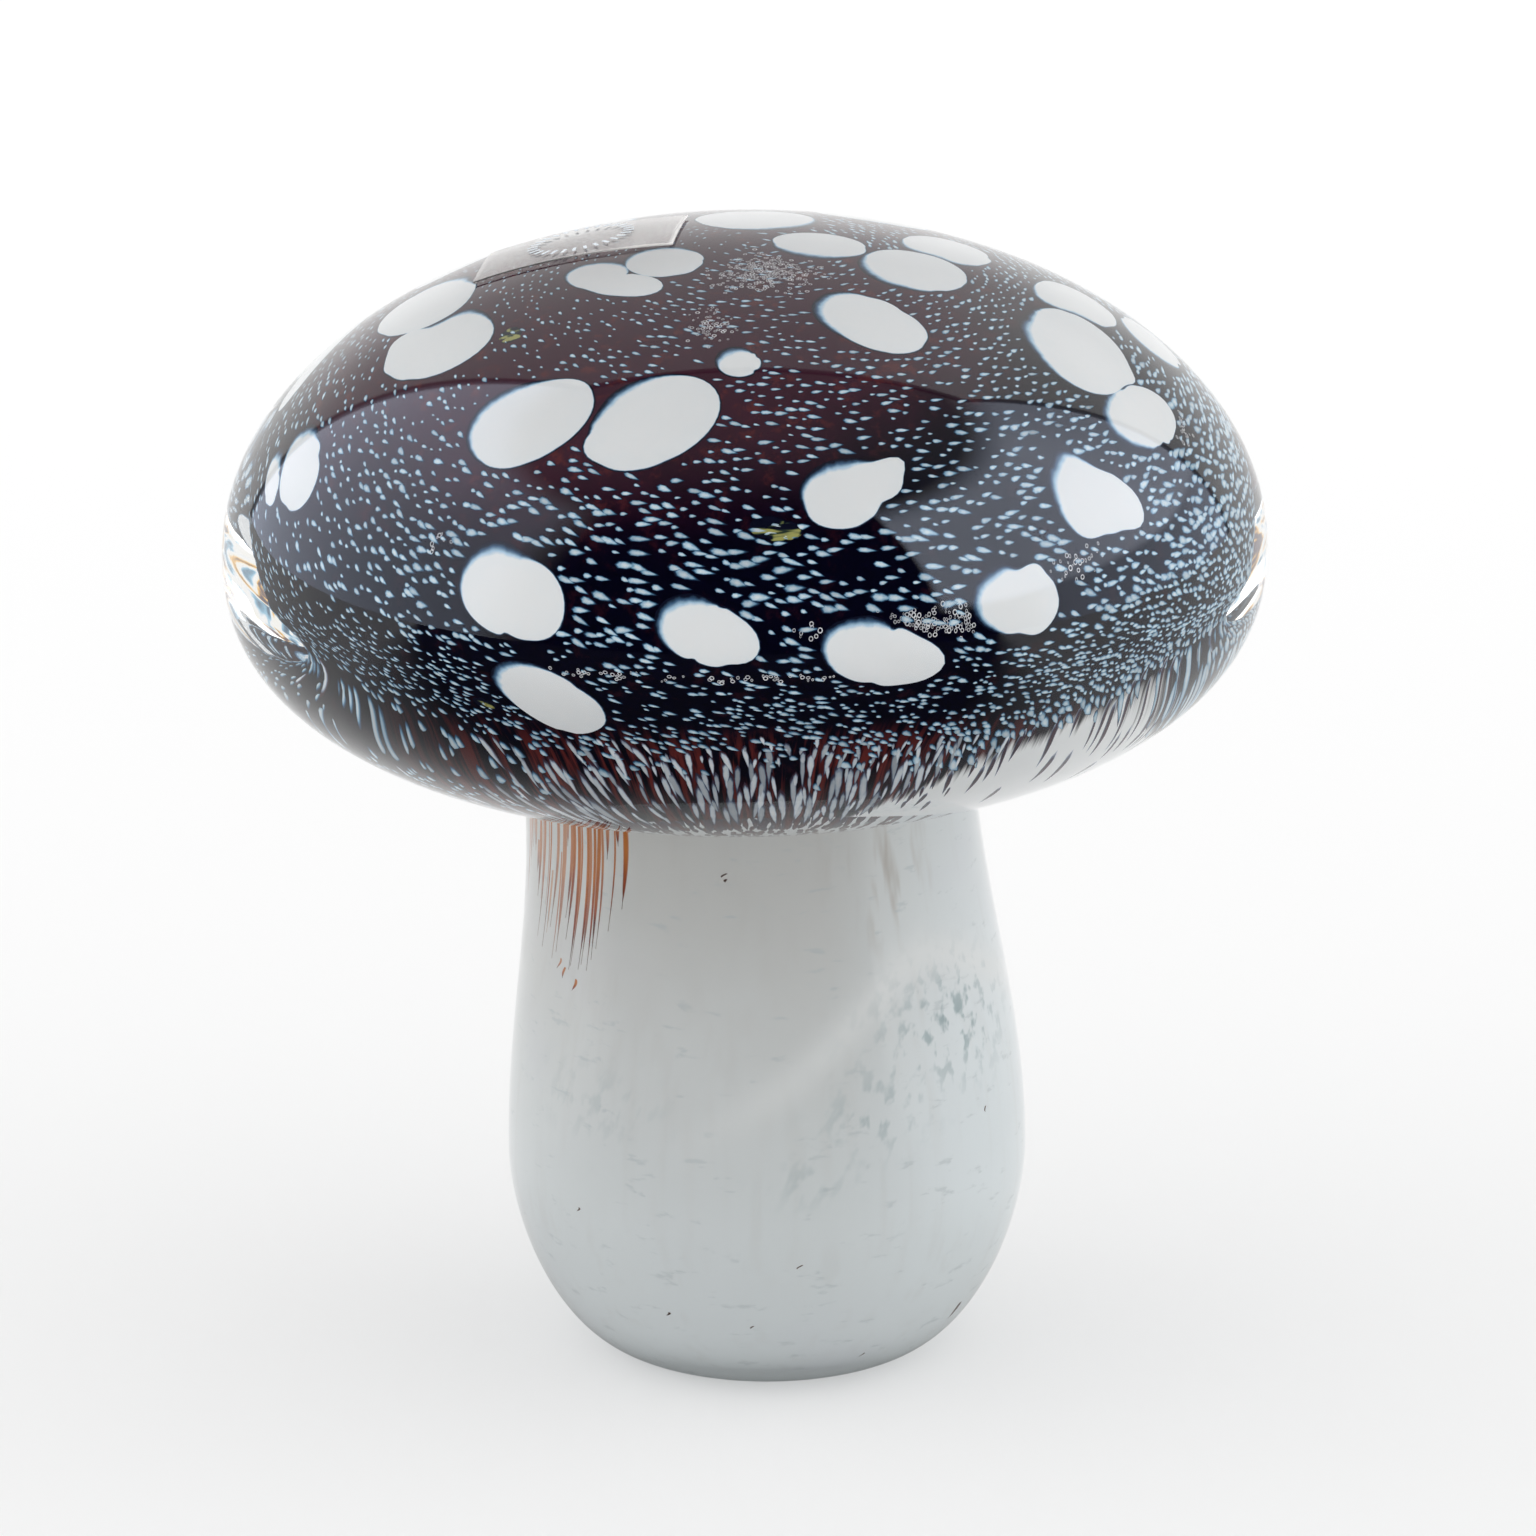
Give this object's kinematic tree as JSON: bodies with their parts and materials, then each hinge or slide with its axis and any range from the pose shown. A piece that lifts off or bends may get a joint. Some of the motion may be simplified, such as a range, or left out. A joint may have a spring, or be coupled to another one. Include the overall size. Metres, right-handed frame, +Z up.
{
  "type": "glass mushroom ornament",
  "caption": "Solid glass mushroom paperweight: a dark domed cap with pale spots under thick clear glass, fused on a bellied opal stem with a flat ground foot.",
  "frame": {"origin": "centre of the ground foot, on the surface it stands on", "axes": "+Z up through the stem and cap; -Y is the front shown in the picture; +X to the right"},
  "size_m": [0.09, 0.09, 0.1002],
  "materials": {
    "clear_crystal": "fire-polished clear glass",
    "aubergine_overlay": "dark aubergine glass, nearly opaque",
    "opal_white": "opaque white opal glass",
    "opal_grey": "opaque grey-white opal glass",
    "yellow_green": "yellow-green fleck of coloured glass",
    "amber_streak": "thin amber-brown glass",
    "clear_stem_crystal": "clear glass, ground flat underneath",
    "clear_film": "thin clear film"
  },
  "bodies": {
    "root": {"cap_casing": "clear_crystal", "cap_core": "opal_white", "cap_overlay": "aubergine_overlay", "label": "clear_film", "neck_streak_1": "amber_streak", "neck_streak_2": "amber_streak", "neck_streak_3": "amber_streak", "neck_streak_4": "amber_streak", "neck_streak_5": "amber_streak", "neck_streak_6": "amber_streak", "spot_01": "opal_white", "spot_02": "opal_white", "spot_03": "opal_white", "spot_04": "opal_white", "spot_05": "opal_white", "spot_06": "opal_white", "spot_07": "opal_white", "spot_08": "opal_white", "spot_09": "opal_white", "spot_10": "opal_white", "spot_11": "opal_white", "spot_12": "opal_white", "spot_13": "opal_white", "spot_14": "opal_white", "spot_15": "opal_white", "spot_16": "opal_white", "spot_17": "opal_white", "spot_18": "opal_white", "spot_19": "opal_white", "spot_20": "opal_white", "spot_21": "opal_white", "spot_22": "opal_white", "spot_23": "opal_white", "spot_24": "opal_white", "spot_25": "opal_white", "spot_26": "opal_white", "spot_27": "opal_white", "spot_28": "opal_white", "spot_29": "opal_white", "spot_30": "opal_white", "spot_31": "opal_white", "spot_32": "opal_white", "spot_33": "opal_white", "spot_34": "opal_white", "spot_35": "opal_white", "spot_36": "opal_white", "spot_37": "opal_white", "spot_38": "opal_white", "spot_39": "opal_white", "stem_casing": "clear_stem_crystal", "stem_core": "opal_grey", "yellow_fleck_1": "yellow_green", "yellow_fleck_2": "yellow_green", "yellow_fleck_3": "yellow_green"}
  },
  "joints": []
}
